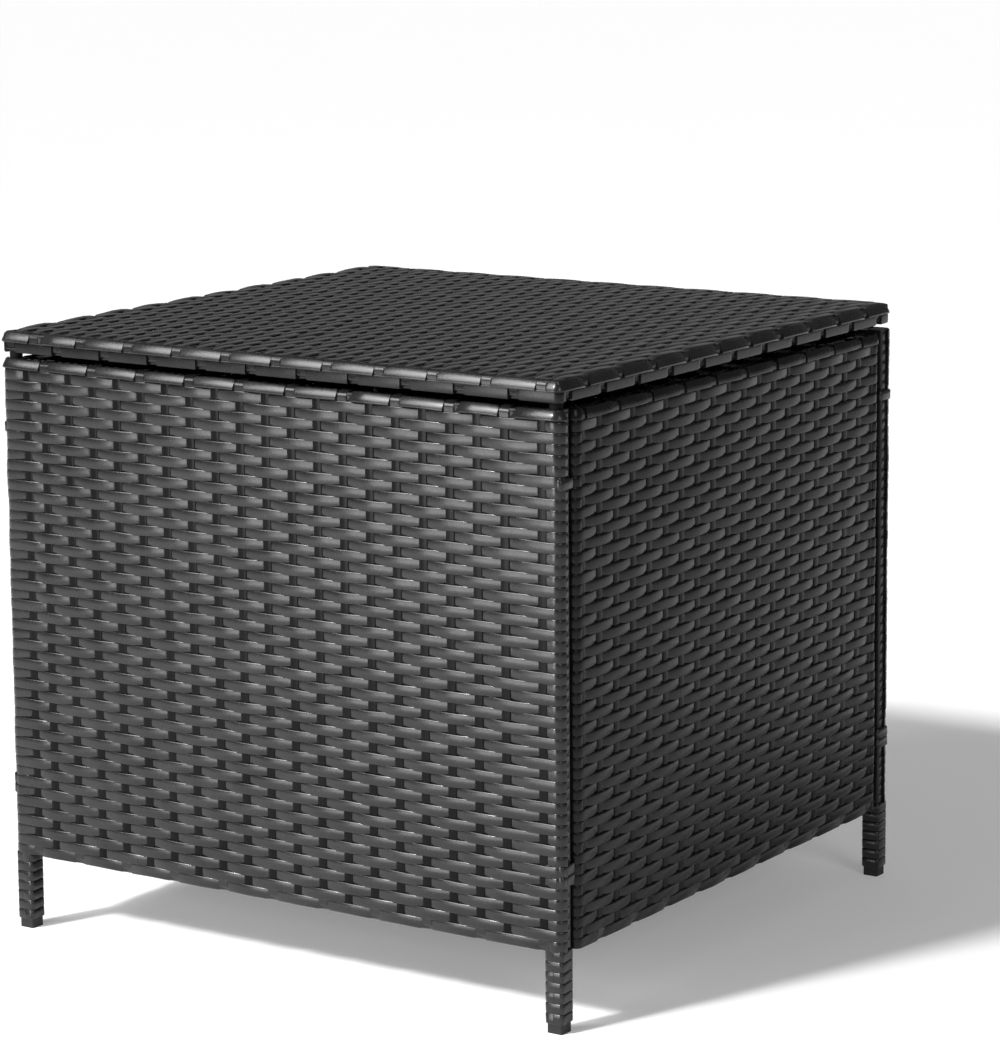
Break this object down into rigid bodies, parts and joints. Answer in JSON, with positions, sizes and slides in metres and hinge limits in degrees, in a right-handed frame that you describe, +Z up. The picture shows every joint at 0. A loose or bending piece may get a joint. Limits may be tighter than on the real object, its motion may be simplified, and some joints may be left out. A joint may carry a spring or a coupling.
{
  "type": "storage side table",
  "caption": "Square outdoor side table: a woven wicker box on slim legs, with a flat woven lid hinged along the rear edge over a storage space.",
  "frame": {"origin": "on the ground, under the middle of the table's box", "axes": "+Z up, -Y out of the front panel, +Y towards the hinges, +X to the right seen from the front"},
  "size_m": [0.51, 0.5, 0.475],
  "materials": {
    "wicker": "satin flat polyethylene strand",
    "frame_steel": "black powder coat",
    "foot_plastic": "moulded",
    "rubber": "matte",
    "hinge_steel": "dull zinc plate",
    "bolt_steel": "bright zinc plate"
  },
  "bodies": {
    "base": {"feet": "foot_plastic", "floor_bolts": "bolt_steel", "floor_cross_bar": "frame_steel", "floor_edge_wraps": "wicker", "floor_front_rail": "frame_steel", "floor_left_rail": "frame_steel", "floor_rear_rail": "frame_steel", "floor_right_rail": "frame_steel", "floor_weave": "wicker", "front_bottom_rail": "frame_steel", "front_left_leg": "frame_steel", "front_rail_wraps": "wicker", "front_right_leg": "frame_steel", "front_top_rail": "frame_steel", "front_upright": "frame_steel", "front_weave": "wicker", "hinge_body_screws": "hinge_steel", "left_bottom_rail": "frame_steel", "left_frame_wraps": "wicker", "left_front_stile": "frame_steel", "left_hinge_body_leaf": "hinge_steel", "left_hinge_pin": "hinge_steel", "left_rear_stile": "frame_steel", "left_top_rail": "frame_steel", "left_upright": "frame_steel", "left_weave": "wicker", "leg_top_plugs": "foot_plastic", "leg_wraps": "wicker", "panel_bolts": "bolt_steel", "panel_spacers": "frame_steel", "rear_bottom_rail": "frame_steel", "rear_left_leg": "frame_steel", "rear_rail_wraps": "wicker", "rear_right_leg": "frame_steel", "rear_top_rail": "frame_steel", "rear_upright": "frame_steel", "rear_weave": "wicker", "right_bottom_rail": "frame_steel", "right_frame_wraps": "wicker", "right_front_stile": "frame_steel", "right_hinge_body_leaf": "hinge_steel", "right_hinge_pin": "hinge_steel", "right_rear_stile": "frame_steel", "right_top_rail": "frame_steel", "right_upright": "frame_steel", "right_weave": "wicker"},
    "lid": {"hinge_lid_screws": "hinge_steel", "left_hinge_lid_leaf": "hinge_steel", "lid_bumpers": "rubber", "lid_cross_bars": "frame_steel", "lid_edge_wraps": "wicker", "lid_front_rail": "frame_steel", "lid_left_rail": "frame_steel", "lid_rear_rail": "frame_steel", "lid_right_rail": "frame_steel", "lid_weave": "wicker", "right_hinge_lid_leaf": "hinge_steel"}
  },
  "joints": [
    {"name": "lid_hinge", "type": "hinge", "parent": "base", "child": "lid", "pos_m": [0, 0.246, 0.45665], "axis": [-1, 0, 0], "range_deg": [0, 100]}
  ]
}
